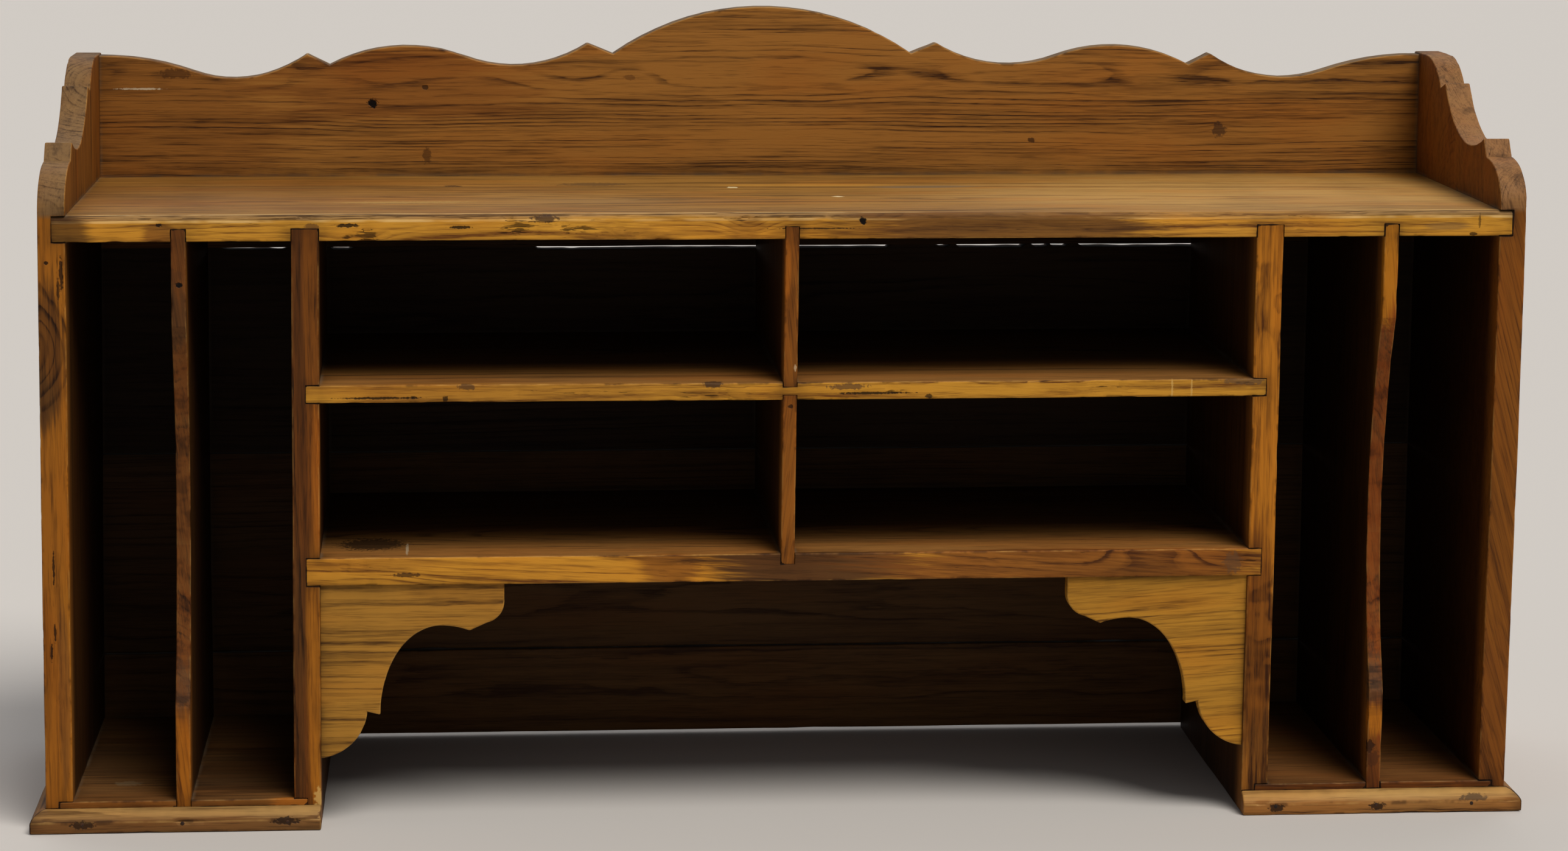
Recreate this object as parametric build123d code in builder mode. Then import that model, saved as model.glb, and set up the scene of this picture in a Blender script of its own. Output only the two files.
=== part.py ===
from build123d import *

import os

# Desk hutch in solid wood: a housed and nailed carcase with two file bays, four pigeonholes,
# a bracketed kneehole and a scrolled gallery. Millimetres.
# The origin is the centre of the footprint on the desk top: +X to the right as seen from the
# front, +Y to the back, +Z up.

# Overall size, measured over the base mouldings
OVERALL_WIDTH = 1220
OVERALL_DEPTH = 320
MOULDING_PROJECTION = 12
MOULDING_HEIGHT = 18
MOULDING_ARRIS = 9

# Board thicknesses
SIDE_THICKNESS = 22
UPRIGHT_THICKNESS = 22
TOP_SHELF_THICKNESS = 21
MID_SHELF_THICKNESS = 14.5
LOWER_SHELF_THICKNESS = 23
FLOOR_THICKNESS = 18
CENTRE_DIVIDER_THICKNESS = 11.5
SLOT_DIVIDER_THICKNESS = 12
BRACKET_THICKNESS = 14
BACK_THICKNESS = 18

# Heights of the upper faces above the desk
TOP_SHELF_TOP = 498.5
MID_SHELF_TOP = 362
LOWER_SHELF_TOP = 221.5
FLOOR_TOP = 23.5
SIDE_TOP = 604

# Clear span between the two inner uprights
KNEEHOLE_WIDTH = 754

# Depths of the housings that the boards are let into
END_HOUSING = 11
TOP_HOUSING = 10
THIN_SHELF_HOUSING = 4
LOWER_SHELF_HOUSING = 9
FLOOR_HOUSING = 8

# Back boards, from the top down: the edges of each, with the shrinkage gaps left between them
GALLERY_BOTTOM = 437
UPPER_BACK = (258, 434)
MIDDLE_BACK = (81, 257)
LOWER_BACK = (5, 80)

# Nails
NAIL_LENGTH = 38
PIN_LENGTH = 20
NAIL_HEAD_RADIUS = 2.6
NAIL_SHANK_RADIUS = 1.3
PIN_HEAD_RADIUS = 1.6
PIN_SHANK_RADIUS = 0.8

# Planes of the carcase that follow from the sizes above
FRONT = MOULDING_PROJECTION - OVERALL_DEPTH / 2
BACK = OVERALL_DEPTH / 2
CARCASE_BACK = BACK - BACK_THICKNESS
CARCASE_MIDDLE = (FRONT + CARCASE_BACK) / 2
CARCASE_DEPTH = CARCASE_BACK - FRONT
SIDE_OUTER = OVERALL_WIDTH / 2 - MOULDING_PROJECTION
SIDE_INNER = SIDE_OUTER - SIDE_THICKNESS
UPRIGHT_INNER = KNEEHOLE_WIDTH / 2
UPRIGHT_OUTER = UPRIGHT_INNER + UPRIGHT_THICKNESS
TOP_SHELF_UNDER = TOP_SHELF_TOP - TOP_SHELF_THICKNESS
MID_SHELF_UNDER = MID_SHELF_TOP - MID_SHELF_THICKNESS
LOWER_SHELF_UNDER = LOWER_SHELF_TOP - LOWER_SHELF_THICKNESS
UPRIGHT_TOP = TOP_SHELF_UNDER + TOP_HOUSING
SLOT_MIDDLE = (UPRIGHT_OUTER + SIDE_INNER) / 2


def board(x_from, x_to, z_from, z_to):
    """A plain board of the carcase's full depth, between two X planes and two heights."""
    with BuildPart() as plain:
        with BuildSketch(Plane.XY.offset(z_from)):
            with Locations(((x_from + x_to) / 2, CARCASE_MIDDLE)):
                Rectangle(x_to - x_from, CARCASE_DEPTH)
        extrude(amount=z_to - z_from)
    return plain


def cut_away(piece, *others):
    """The piece with housings and nail holes cut exactly to the pieces let into it."""
    with BuildPart() as housed:
        add(piece.part)
        for other in others:
            add(other.part, mode=Mode.SUBTRACT)
    return housed


def mirrored(piece):
    """The same piece made for the other side of the hutch."""
    with BuildPart() as other_hand:
        mirror(piece.part, about=Plane.YZ)
    return other_hand


def on_both_sides(places):
    """Places on the right side, each with its mirror image about X = 0."""
    return places + [(-x, *rest) for x, *rest in places]


# ---- Nails: round wire nails with flush countersunk heads -------------------------------------

def nails(length, head_radius, shank_radius, seats):
    """Nails whose heads lie flush in the given planes, each driven against its plane's normal."""
    with BuildPart() as nail:
        with BuildSketch(Plane.XZ):
            with BuildLine():
                Polyline(
                    (0, 0),
                    (head_radius, 0),
                    (head_radius, -head_radius / 3),
                    (shank_radius, -head_radius),
                    (shank_radius, 3 * shank_radius - length),
                    (0, -length),
                    close=True,
                )
            make_face()
        revolve(axis=Axis.Z)
    with BuildPart() as group:
        with Locations(*seats):
            add(nail.part)
    return group


def facing(direction, points):
    """Seats for nail heads at the points, with the heads facing along the direction."""
    return [Plane(origin=point, z_dir=direction) for point in points]


PIN_HEIGHT = 7.2
FLOOR_NAIL_HEIGHT = FLOOR_TOP - FLOOR_THICKNESS / 2
TOP_NAIL_HEIGHT = TOP_SHELF_TOP - TOP_SHELF_THICKNESS / 2
MID_NAIL_HEIGHT = MID_SHELF_TOP - MID_SHELF_THICKNESS / 2
LOWER_NAIL_HEIGHT = LOWER_SHELF_TOP - LOWER_SHELF_THICKNESS / 2
MOULDING_FACE = FRONT - MOULDING_PROJECTION
MOULDING_END = SIDE_OUTER + MOULDING_PROJECTION

# Where the nails stand along the width and along the depth
FRONT_PINS_ACROSS = (404, 488, 568)
FLOOR_BACK_NAILS_ACROSS = (440, 535)
SHELF_BACK_NAILS_ACROSS = (130, 260)
GALLERY_NAILS_ACROSS = (90, 270, 450)
SIDE_PINS_DEEP = (-110, 0, 110)
TOP_NAILS_DEEP = (-110, 0, 110)
SHELF_NAILS_DEEP = (-100, 80)
FLOOR_NAILS_DEEP = (-70, 70)

# Heights of the nails that go through the back into the uprights
COLUMN_NAIL_HEIGHTS = (110, 235, 290, 410)
FOOT_NAIL_HEIGHTS = (35, 65)

front_pins = facing(
    (0, -1, 0),
    on_both_sides([(x, MOULDING_FACE, PIN_HEIGHT) for x in FRONT_PINS_ACROSS]),
)
right_pins = facing((1, 0, 0), [(MOULDING_END, y, PIN_HEIGHT) for y in SIDE_PINS_DEEP])
left_pins = facing((-1, 0, 0), [(-MOULDING_END, y, PIN_HEIGHT) for y in SIDE_PINS_DEEP])
moulding_pins = nails(
    PIN_LENGTH, PIN_HEAD_RADIUS, PIN_SHANK_RADIUS, front_pins + right_pins + left_pins
)


def nails_both_ways(direction, x, places):
    """Nails at one X plane and at its mirror image, with their heads facing opposite ways."""
    return nails(
        NAIL_LENGTH,
        NAIL_HEAD_RADIUS,
        NAIL_SHANK_RADIUS,
        facing((direction, 0, 0), [(x, y, z) for y, z in places])
        + facing((-direction, 0, 0), [(-x, y, z) for y, z in places]),
    )


side_nails = nails_both_ways(
    1,
    SIDE_OUTER,
    [(y, TOP_NAIL_HEIGHT) for y in TOP_NAILS_DEEP]
    + [(y, FLOOR_NAIL_HEIGHT) for y in FLOOR_NAILS_DEEP],
)
shelf_nails = nails_both_ways(
    1,
    UPRIGHT_OUTER,
    [(y, z) for y in SHELF_NAILS_DEEP for z in (MID_NAIL_HEIGHT, LOWER_NAIL_HEIGHT)],
)
floor_nails = nails_both_ways(
    -1, UPRIGHT_INNER, [(y, FLOOR_NAIL_HEIGHT) for y in FLOOR_NAILS_DEEP]
)
gallery_nails = nails(
    NAIL_LENGTH,
    NAIL_HEAD_RADIUS,
    NAIL_SHANK_RADIUS,
    facing((0, 1, 0), on_both_sides([(x, BACK, TOP_NAIL_HEIGHT) for x in GALLERY_NAILS_ACROSS])),
)

UPRIGHT_MIDDLE = (UPRIGHT_INNER + UPRIGHT_OUTER) / 2
back_nail_places = [
    (x, BACK, z) for x in (UPRIGHT_MIDDLE, SLOT_MIDDLE) for z in COLUMN_NAIL_HEIGHTS
]
back_nail_places += [
    (x, BACK, z) for x in SHELF_BACK_NAILS_ACROSS for z in (MID_NAIL_HEIGHT, LOWER_NAIL_HEIGHT)
]
back_nail_places += [(UPRIGHT_MIDDLE, BACK, z) for z in FOOT_NAIL_HEIGHTS]
back_nail_places += [(x, BACK, FLOOR_NAIL_HEIGHT) for x in FLOOR_BACK_NAILS_ACROSS]
back_nails = nails(
    NAIL_LENGTH,
    NAIL_HEAD_RADIUS,
    NAIL_SHANK_RADIUS,
    facing((0, 1, 0), on_both_sides(back_nail_places)),
)

# ---- Dividers: let into the boards above and below --------------------------------------------

upper_centre_divider = board(
    -CENTRE_DIVIDER_THICKNESS / 2,
    CENTRE_DIVIDER_THICKNESS / 2,
    MID_SHELF_TOP - THIN_SHELF_HOUSING,
    UPRIGHT_TOP,
)
lower_centre_divider = board(
    -CENTRE_DIVIDER_THICKNESS / 2,
    CENTRE_DIVIDER_THICKNESS / 2,
    LOWER_SHELF_TOP - LOWER_SHELF_HOUSING,
    MID_SHELF_UNDER + THIN_SHELF_HOUSING,
)

SCOOP_BOTTOM = 100
SCOOP_TOP = 410
SCOOP_DEPTH = 30

with BuildPart() as slot_divider_blank:
    with BuildSketch(Plane.YZ.offset(SLOT_MIDDLE - SLOT_DIVIDER_THICKNESS / 2)):
        with BuildLine():
            Polyline(
                (FRONT, SCOOP_BOTTOM),
                (FRONT, FLOOR_TOP - FLOOR_HOUSING),
                (CARCASE_BACK, FLOOR_TOP - FLOOR_HOUSING),
                (CARCASE_BACK, UPRIGHT_TOP),
                (FRONT, UPRIGHT_TOP),
                (FRONT, SCOOP_TOP),
            )
            # Shallow hollow in the front edge, to reach the papers by
            ThreePointArc(
                (FRONT, SCOOP_TOP),
                (FRONT + SCOOP_DEPTH, (SCOOP_TOP + SCOOP_BOTTOM) / 2),
                (FRONT, SCOOP_BOTTOM),
            )
        make_face()
    extrude(amount=SLOT_DIVIDER_THICKNESS)
right_slot_divider = cut_away(slot_divider_blank, back_nails)
left_slot_divider = mirrored(right_slot_divider)

# ---- Shelves and floor boards -----------------------------------------------------------------

mid_shelf = cut_away(
    board(-UPRIGHT_INNER - END_HOUSING, UPRIGHT_INNER + END_HOUSING, MID_SHELF_UNDER, MID_SHELF_TOP),
    upper_centre_divider,
    lower_centre_divider,
    shelf_nails,
    back_nails,
)
lower_shelf = cut_away(
    board(
        -UPRIGHT_INNER - END_HOUSING,
        UPRIGHT_INNER + END_HOUSING,
        LOWER_SHELF_UNDER,
        LOWER_SHELF_TOP,
    ),
    lower_centre_divider,
    shelf_nails,
    back_nails,
)
right_floor_board = cut_away(
    board(
        UPRIGHT_OUTER - END_HOUSING,
        SIDE_INNER + END_HOUSING,
        FLOOR_TOP - FLOOR_THICKNESS,
        FLOOR_TOP,
    ),
    right_slot_divider,
    moulding_pins,
    side_nails,
    floor_nails,
    back_nails,
)
left_floor_board = mirrored(right_floor_board)

# ---- Inner uprights ---------------------------------------------------------------------------

right_inner_upright = cut_away(
    board(UPRIGHT_INNER, UPRIGHT_OUTER, 0, UPRIGHT_TOP),
    mid_shelf,
    lower_shelf,
    right_floor_board,
    shelf_nails,
    floor_nails,
    back_nails,
)
left_inner_upright = mirrored(right_inner_upright)

# ---- Top shelf: the uprights and dividers are let into its underside --------------------------

top_shelf = cut_away(
    board(-SIDE_INNER - END_HOUSING, SIDE_INNER + END_HOUSING, TOP_SHELF_UNDER, TOP_SHELF_TOP),
    left_inner_upright,
    right_inner_upright,
    left_slot_divider,
    right_slot_divider,
    upper_centre_divider,
    side_nails,
    gallery_nails,
)

# ---- Sides: scrolled above the top shelf ------------------------------------------------------

# The scroll's points, as distance behind the front edge and height above the desk
SHOULDER_RISE = (53, 37)
SHOULDER_TOP = 537
LOWER_CUSP = (FRONT + 63, 551)
HOLLOW_BOTTOM = (FRONT + 110, 541.5)
UPPER_CUSP = (FRONT + 197, 585)
NOTCH = (FRONT + 212, 580)
LOBE_TOP = (FRONT + 262, SIDE_TOP)
SHOULDER_CENTRE = (FRONT + SHOULDER_RISE[0], SHOULDER_TOP - SHOULDER_RISE[1])

with BuildPart() as side_blank:
    with BuildSketch(Plane.YZ.offset(SIDE_INNER)):
        with BuildLine():
            Polyline(
                (FRONT, SHOULDER_CENTRE[1]),
                (FRONT, 0),
                (BACK, 0),
                (BACK, SIDE_TOP),
                LOBE_TOP,
            )
            TangentArc(LOBE_TOP, NOTCH, tangent=(-1, 0))
            Line(NOTCH, UPPER_CUSP)
            TangentArc(HOLLOW_BOTTOM, UPPER_CUSP, tangent=(1, 0))
            TangentArc(HOLLOW_BOTTOM, LOWER_CUSP, tangent=(-1, 0))
            Line(LOWER_CUSP, (SHOULDER_CENTRE[0], SHOULDER_TOP))
            EllipticalCenterArc(
                SHOULDER_CENTRE, SHOULDER_RISE[0], SHOULDER_RISE[1], start_angle=90, arc_size=90
            )
        make_face()
    extrude(amount=SIDE_THICKNESS)
right_side = cut_away(side_blank, top_shelf, right_floor_board, side_nails, moulding_pins)
left_side = mirrored(right_side)

# ---- Gallery board: its crest is drawn for the right half and mirrored ------------------------

CREST_APEX = 644
CREST_ARC_RADIUS = 226
CREST_ARC_ANGLE = 34.8
CREST_PEAK = (151, 612.5)
CREST_INFLECTION = (256, 601.5)
CREST_HUMP = (304, 610.5)
OUTER_NOTCH = (372, 594)
OUTER_CUSP = (391, 603.5)
CREST_END = (SIDE_INNER, 602.5)
END_ARC_RADIUS = 266
END_ARC_ANGLE = 18.5

with BuildPart() as gallery_blank:
    with BuildSketch(Plane.XZ.offset(-CARCASE_BACK)):
        with BuildLine():
            centre_arc = JernArc((0, CREST_APEX), (1, 0), CREST_ARC_RADIUS, -CREST_ARC_ANGLE)
            Line(centre_arc @ 1, CREST_PEAK)
            hump = ThreePointArc(OUTER_NOTCH, CREST_HUMP, CREST_INFLECTION)
            TangentArc(CREST_INFLECTION, CREST_PEAK, tangent=hump % 1)
            Line(OUTER_NOTCH, OUTER_CUSP)
            end_arc = JernArc(CREST_END, (-1, 0), END_ARC_RADIUS, END_ARC_ANGLE)
            TangentArc(end_arc @ 1, OUTER_CUSP, tangent=end_arc % 1)
            Polyline(CREST_END, (SIDE_INNER, GALLERY_BOTTOM), (0, GALLERY_BOTTOM))
            mirror(about=Plane.YZ)
        make_face()
    extrude(amount=-BACK_THICKNESS)
gallery_board = cut_away(gallery_blank, gallery_nails)

# ---- Back boards: between the sides, nailed to the back edges of the carcase ------------------


def back_board(z_from, z_to):
    """One horizontal board of the back, between two heights."""
    with BuildPart() as blank:
        with BuildSketch(Plane.XY.offset(z_from)):
            with Locations((0, CARCASE_BACK + BACK_THICKNESS / 2)):
                Rectangle(2 * SIDE_INNER, BACK_THICKNESS)
        extrude(amount=z_to - z_from)
    return cut_away(blank, back_nails)


upper_back_board = back_board(*UPPER_BACK)
middle_back_board = back_board(*MIDDLE_BACK)
lower_back_board = back_board(*LOWER_BACK)

# ---- Brackets in the upper corners of the kneehole --------------------------------------------

BRACKET_RECESS = 3
BRACKET_LENGTH = 148
BRACKET_NOSE = 15
BRACKET_FOOT = 55.5
ARCH_CENTRE = (UPRIGHT_INNER - 97, 91)
ARCH_RADII = (49, 73)
BRACKET_CUSP = (UPRIGHT_INNER - 120, 159.5)
NOSE_TURN = (UPRIGHT_INNER - 134, 166)
STEP = (UPRIGHT_INNER - 37.5, 93.5)
FOOT_CURVE = (UPRIGHT_INNER - 28, 70.5)
bracket_tip = UPRIGHT_INNER - BRACKET_LENGTH
arch_top = (ARCH_CENTRE[0], ARCH_CENTRE[1] + ARCH_RADII[1])
arch_side = (ARCH_CENTRE[0] + ARCH_RADII[0], ARCH_CENTRE[1])

with BuildPart() as right_bracket:
    with BuildSketch(Plane.XZ.offset(-FRONT - BRACKET_RECESS)):
        with BuildLine():
            Polyline(
                (UPRIGHT_INNER, BRACKET_FOOT),
                (UPRIGHT_INNER, LOWER_SHELF_UNDER),
                (bracket_tip, LOWER_SHELF_UNDER),
                (bracket_tip, LOWER_SHELF_UNDER - BRACKET_NOSE),
            )
            TangentArc((bracket_tip, LOWER_SHELF_UNDER - BRACKET_NOSE), NOSE_TURN, tangent=(0, -1))
            Line(NOSE_TURN, BRACKET_CUSP)
            TangentArc(arch_top, BRACKET_CUSP, tangent=(-1, 0))
            EllipticalCenterArc(ARCH_CENTRE, ARCH_RADII[0], ARCH_RADII[1], start_angle=0, arc_size=90)
            Line(arch_side, STEP)
            ThreePointArc(STEP, FOOT_CURVE, (UPRIGHT_INNER, BRACKET_FOOT))
        make_face()
    extrude(amount=-BRACKET_THICKNESS)
left_bracket = mirrored(right_bracket)

# Three-cornered glue blocks hold each bracket from behind, to the shelf and to the upright
BLOCK_LEG = 18
SHELF_BLOCK_START = UPRIGHT_INNER - 125
SHELF_BLOCK_LENGTH = 100
UPRIGHT_BLOCK_FOOT = 72
UPRIGHT_BLOCK_LENGTH = 95
BRACKET_BACK = FRONT + BRACKET_RECESS + BRACKET_THICKNESS

with BuildPart() as right_shelf_block:
    with BuildSketch(Plane.YZ.offset(SHELF_BLOCK_START)):
        with BuildLine():
            Polyline(
                (BRACKET_BACK, LOWER_SHELF_UNDER),
                (BRACKET_BACK + BLOCK_LEG, LOWER_SHELF_UNDER),
                (BRACKET_BACK, LOWER_SHELF_UNDER - BLOCK_LEG),
                close=True,
            )
        make_face()
    extrude(amount=SHELF_BLOCK_LENGTH)
left_shelf_block = mirrored(right_shelf_block)

with BuildPart() as right_upright_block:
    with BuildSketch(Plane.XY.offset(UPRIGHT_BLOCK_FOOT)):
        with BuildLine():
            Polyline(
                (UPRIGHT_INNER, BRACKET_BACK),
                (UPRIGHT_INNER, BRACKET_BACK + BLOCK_LEG),
                (UPRIGHT_INNER - BLOCK_LEG, BRACKET_BACK),
                close=True,
            )
        make_face()
    extrude(amount=UPRIGHT_BLOCK_LENGTH)
left_upright_block = mirrored(right_upright_block)

# ---- Base mouldings: mitred at the outer front corners ----------------------------------------

# The rounded bevel, as projection and height: its top edge and a point half way down it
BEVEL_TOP = (1.5, MOULDING_HEIGHT)
BEVEL_MIDDLE = (7.8, 14.4)


def moulding(plane, length, mitre, kept_side):
    """A length of base moulding, drawn as projection and height in the plane, cut by the mitre."""
    with BuildPart() as strip:
        with BuildSketch(plane):
            with BuildLine():
                Polyline(
                    BEVEL_TOP,
                    (0, MOULDING_HEIGHT),
                    (0, 0),
                    (MOULDING_PROJECTION, 0),
                    (MOULDING_PROJECTION, MOULDING_ARRIS),
                )
                ThreePointArc((MOULDING_PROJECTION, MOULDING_ARRIS), BEVEL_MIDDLE, BEVEL_TOP)
            make_face()
        extrude(amount=length)
        split(bisect_by=mitre, keep=kept_side)
        add(moulding_pins.part, mode=Mode.SUBTRACT)
    return strip


right_mitre = Plane(origin=(SIDE_OUTER, FRONT, 0), z_dir=(1, 1, 0))
right_front_moulding = moulding(
    Plane(origin=(MOULDING_END, FRONT, 0), x_dir=(0, -1, 0), z_dir=(-1, 0, 0)),
    MOULDING_END - UPRIGHT_INNER,
    right_mitre,
    Keep.BOTTOM,
)
right_side_moulding = moulding(
    Plane(origin=(SIDE_OUTER, BACK, 0), x_dir=(1, 0, 0), z_dir=(0, -1, 0)),
    BACK - MOULDING_FACE,
    right_mitre,
    Keep.TOP,
)
left_front_moulding = mirrored(right_front_moulding)
left_side_moulding = mirrored(right_side_moulding)

# ---- One STEP file for each piece -------------------------------------------------------------

pieces = {
    "left_side": left_side,
    "right_side": right_side,
    "left_inner_upright": left_inner_upright,
    "right_inner_upright": right_inner_upright,
    "top_shelf": top_shelf,
    "mid_shelf": mid_shelf,
    "lower_shelf": lower_shelf,
    "left_floor_board": left_floor_board,
    "right_floor_board": right_floor_board,
    "upper_centre_divider": upper_centre_divider,
    "lower_centre_divider": lower_centre_divider,
    "left_slot_divider": left_slot_divider,
    "right_slot_divider": right_slot_divider,
    "left_bracket": left_bracket,
    "right_bracket": right_bracket,
    "left_shelf_block": left_shelf_block,
    "right_shelf_block": right_shelf_block,
    "left_upright_block": left_upright_block,
    "right_upright_block": right_upright_block,
    "gallery_board": gallery_board,
    "upper_back_board": upper_back_board,
    "middle_back_board": middle_back_board,
    "lower_back_board": lower_back_board,
    "left_front_moulding": left_front_moulding,
    "right_front_moulding": right_front_moulding,
    "left_side_moulding": left_side_moulding,
    "right_side_moulding": right_side_moulding,
    "moulding_pins": moulding_pins,
    "side_nails": side_nails,
    "shelf_nails": shelf_nails,
    "floor_nails": floor_nails,
    "gallery_nails": gallery_nails,
    "back_nails": back_nails,
}
os.makedirs("parts", exist_ok=True)
for name, piece in pieces.items():
    piece.part.label = name
    export_step(piece.part, f"parts/{name}.step")
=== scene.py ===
import math
from functools import reduce
from operator import add

import bmesh
import bpy
import numpy as np
from mathutils import Matrix, Vector, kdtree, noise
from mathutils.bvhtree import BVHTree


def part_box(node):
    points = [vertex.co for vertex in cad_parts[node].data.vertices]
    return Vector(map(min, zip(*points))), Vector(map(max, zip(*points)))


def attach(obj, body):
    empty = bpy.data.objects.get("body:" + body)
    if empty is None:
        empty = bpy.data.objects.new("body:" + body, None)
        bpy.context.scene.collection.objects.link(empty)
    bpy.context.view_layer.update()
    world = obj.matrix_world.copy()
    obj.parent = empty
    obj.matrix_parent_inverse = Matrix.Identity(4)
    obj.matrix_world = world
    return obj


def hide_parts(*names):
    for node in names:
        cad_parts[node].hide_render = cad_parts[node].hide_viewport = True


# Looks of the desk hutch: every board gets a worn copy of its CAD shape, cut from its own "log"
# of procedural timber, so that rings, flames and end grain agree from face to face.
# Metres, in the CAD frame: +X right, +Y back, +Z up. Board looks are listed in millimetres.

MM = 0.001
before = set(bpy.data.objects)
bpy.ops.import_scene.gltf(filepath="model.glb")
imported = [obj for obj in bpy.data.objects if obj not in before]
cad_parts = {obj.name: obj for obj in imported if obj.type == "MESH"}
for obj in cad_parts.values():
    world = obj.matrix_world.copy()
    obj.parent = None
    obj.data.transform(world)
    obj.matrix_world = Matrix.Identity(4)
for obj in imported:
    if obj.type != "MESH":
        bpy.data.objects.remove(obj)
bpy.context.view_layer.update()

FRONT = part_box("top_shelf")[0].y
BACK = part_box("top_shelf")[1].y
SHELF_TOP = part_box("top_shelf")[1].z
HALF_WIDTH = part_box("right_side")[1].x
GALLERY_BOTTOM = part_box("gallery_board")[0].z

NAIL_NODES = (
    "moulding_pins",
    "side_nails",
    "shelf_nails",
    "floor_nails",
    "gallery_nails",
    "back_nails",
)

# ---- Node trees ------------------------------------------------------------------------------


class Wire:
    """A value in a node tree. Arithmetic on it adds Math nodes."""

    def __init__(self, socket):
        self.socket = socket
        self.tree = socket.id_data

    def __add__(self, other):
        return calc("ADD", self, other)

    def __radd__(self, other):
        return calc("ADD", other, self)

    def __sub__(self, other):
        return calc("SUBTRACT", self, other)

    def __rsub__(self, other):
        return calc("SUBTRACT", other, self)

    def __mul__(self, other):
        return calc("MULTIPLY", self, other)

    def __truediv__(self, other):
        return calc("DIVIDE", self, other)


def put(tree, kind, inputs=None, **settings):
    """A node with its settings made and its inputs linked or filled in."""
    node = tree.nodes.new(kind)
    for key, value in settings.items():
        setattr(node, key, value)
    for key, value in (inputs or {}).items():
        if isinstance(value, Wire):
            tree.links.new(value.socket, node.inputs[key])
        else:
            node.inputs[key].default_value = value
    return node


def read(tree, kind, output, **settings):
    """One output of a new node that needs no inputs."""
    return Wire(put(tree, kind, **settings).outputs[output])


def calc(operation, a, b=0.0, c=0.0, clamp=False):
    tree = next(value.tree for value in (a, b, c) if isinstance(value, Wire))
    node = put(tree, "ShaderNodeMath", {0: a, 1: b, 2: c}, operation=operation)
    node.use_clamp = clamp
    return Wire(node.outputs[0])


def scaled(value, factor, offset):
    return calc("MULTIPLY_ADD", value, factor, offset)


def about_zero(value, reach):
    """A noise of 0 to 1 as a swing of about -reach to reach."""
    return scaled(value, 2.0 * reach, -reach)


def vec(operation, a, b=(0, 0, 0)):
    node = put(a.tree, "ShaderNodeVectorMath", {0: a, 1: b}, operation=operation)
    return Wire(node.outputs["Value" if operation in ("LENGTH", "DOT_PRODUCT") else 0])


def split(value):
    return [Wire(out) for out in put(value.tree, "ShaderNodeSeparateXYZ", {0: value}).outputs]


def noised(point, rate, detail=2.0, roughness=0.5, distortion=0.0):
    """Noise whose rates are cycles in a metre: one for all directions, or (along X, across it),
    or (X, Y, Z)."""
    if isinstance(rate, (int, float)):
        rate = (rate, rate, rate)
    elif len(rate) == 2:
        rate = (rate[0], rate[1], rate[1])
    settings = {
        "Vector": vec("MULTIPLY", point, rate),
        "Scale": 1.0,
        "Detail": detail,
        "Roughness": roughness,
        "Distortion": distortion,
    }
    return Wire(put(point.tree, "ShaderNodeTexNoise", settings).outputs[0])


def step(value, start, end, out_start=0.0, out_end=1.0):
    """A smooth step from out_start to out_end while value goes from start to end."""
    inputs = {0: value, 1: start, 2: end, 3: out_start, 4: out_end}
    node = put(value.tree, "ShaderNodeMapRange", inputs, interpolation_type="SMOOTHSTEP")
    return Wire(node.outputs[0])


def fade_out(value, start, end):
    """1 up to start and 0 from end on."""
    return step(value, start, end, 1.0, 0.0)


def mixed(factor, a, b, blend="MIX"):
    tree = next(value.tree for value in (factor, a, b) if isinstance(value, Wire))
    inputs = {0: factor, 6: a, 7: b}
    node = put(tree, "ShaderNodeMix", inputs, data_type="RGBA", blend_type=blend, clamp_factor=True)
    return Wire(node.outputs[2])


def ramp(value, stops):
    node = put(value.tree, "ShaderNodeValToRGB", {0: value})
    elements = node.color_ramp.elements
    while len(elements) < len(stops):
        elements.new(0.5)
    for element, (place, grey) in zip(elements, stops):
        element.position = place
        element.color = (grey, grey, grey, 1)
    return Wire(node.outputs[0])


def rgb(red, green, blue):
    """An sRGB colour of 0 to 255 as linear RGBA."""
    part = [c / 255 for c in (red, green, blue)]
    linear = [c / 12.92 if c <= 0.04045 else ((c + 0.055) / 1.055) ** 2.4 for c in part]
    return (*linear, 1.0)


def hill(position, place, reach):
    """A bell shape about a place, 1 at its centre. Place and reach in millimetres."""
    away = vec("DIVIDE", vec("SUBTRACT", position, Vector(place) * MM), Vector(reach) * MM)
    return calc("EXPONENT", vec("DOT_PRODUCT", away, away) * -1.0)


def hills(position, rows):
    """Bells at several places added up, each times the last number of its row."""
    return reduce(add, [hill(position, row[0], row[1]) * row[-1] for row in rows])


def blank_material(name):
    material = bpy.data.materials.new(name)
    material.use_nodes = True
    material.node_tree.nodes.clear()
    return material, material.node_tree


def surface(tree, colour, rough, height, bump, constants):
    """The shader of a material. bump is the relief's strength and its depth in metres."""
    inputs = {"Strength": bump[0], "Distance": bump[1], "Height": height}
    relief = Wire(put(tree, "ShaderNodeBump", inputs).outputs[0])
    inputs = {"Base Color": colour, "Roughness": rough, "Normal": relief, **constants}
    shader = put(tree, "ShaderNodeBsdfPrincipled", inputs)
    tree.links.new(shader.outputs[0], put(tree, "ShaderNodeOutputMaterial").inputs[0])


FLOAT, VECTOR = "NodeSocketFloat", "NodeSocketVector"


def group(name, inputs, outputs):
    """A node group: its tree, its inputs as wires by name, and its output node."""
    tree = bpy.data.node_groups.new(name, "ShaderNodeTree")
    for label, kind in inputs.items():
        tree.interface.new_socket(name=label, in_out="INPUT", socket_type=kind)
    for label in outputs:
        tree.interface.new_socket(name=label, in_out="OUTPUT", socket_type=FLOAT)
    given, made = tree.nodes.new("NodeGroupInput"), tree.nodes.new("NodeGroupOutput")
    return tree, {label: Wire(given.outputs[label]) for label in inputs}, made


def deliver(tree, made, **values):
    for label, value in values.items():
        tree.links.new(value.socket, made.inputs[label])
    return tree


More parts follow.
